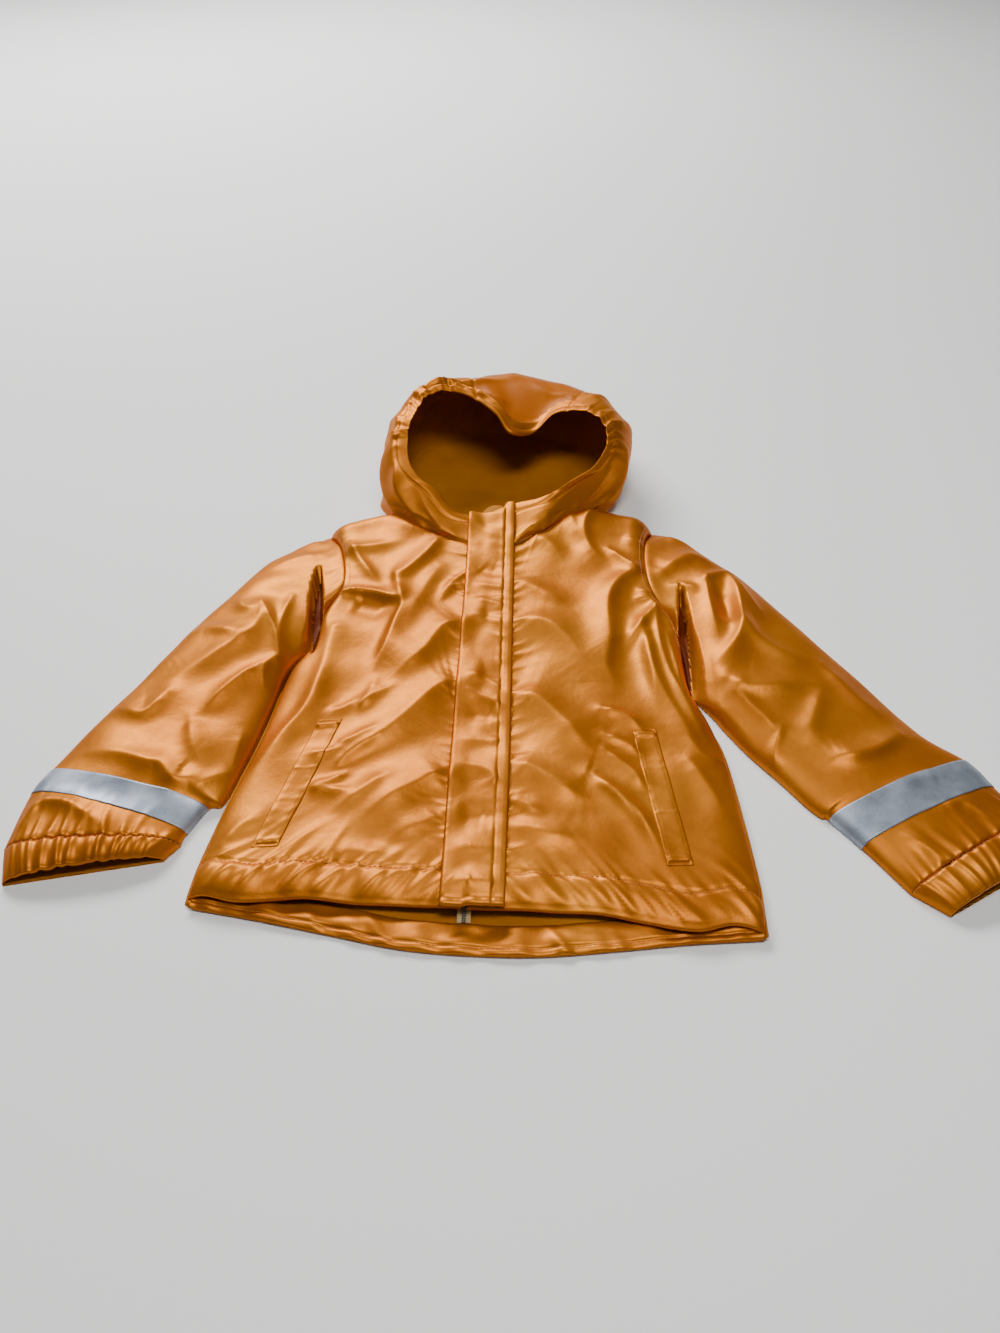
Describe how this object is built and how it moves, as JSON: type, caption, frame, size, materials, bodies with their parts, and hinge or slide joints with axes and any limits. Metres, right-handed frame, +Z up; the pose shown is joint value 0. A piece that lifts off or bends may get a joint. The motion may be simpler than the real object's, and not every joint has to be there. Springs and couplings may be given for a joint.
{
  "type": "child's hooded rain jacket",
  "caption": "Child's rain jacket in orange coated cloth, laid flat on its back with the front closed: gathered hood, storm flap over a zip, welt pockets, elastic cuffs and reflective arm bands.",
  "frame": {"origin": "middle of the jacket's box in plan, on the surface it lies on", "axes": "+X to the wearer's left, across both sleeves; +Y from the hem to the hood; +Z up from the surface, out of the jacket's front"},
  "size_m": [0.8012, 0.735, 0.0918],
  "materials": {
    "coated_cloth": "polyurethane-coated polyester, satin",
    "reflective_tape": "glass-bead retroreflective tape, satin grey",
    "zip_teeth": "moulded plastic coil, satin",
    "zip_tape": "woven polyester tape, matte"
  },
  "bodies": {
    "root": {"back": "coated_cloth", "front_right": "coated_cloth", "front_left": "coated_cloth", "sleeve_right": "coated_cloth", "sleeve_left": "coated_cloth", "cuff_right": "coated_cloth", "cuff_left": "coated_cloth", "hood_side_right": "coated_cloth", "hood_crown": "coated_cloth", "hood_side_left": "coated_cloth", "hood_channel": "coated_cloth", "storm_flap": "coated_cloth", "zip_guard": "coated_cloth", "welt_right": "coated_cloth", "welt_left": "coated_cloth", "tape_right": "reflective_tape", "tape_left": "reflective_tape", "zip_teeth": "zip_teeth", "zip_tape_right": "zip_tape", "zip_tape_left": "zip_tape"}
  },
  "joints": []
}
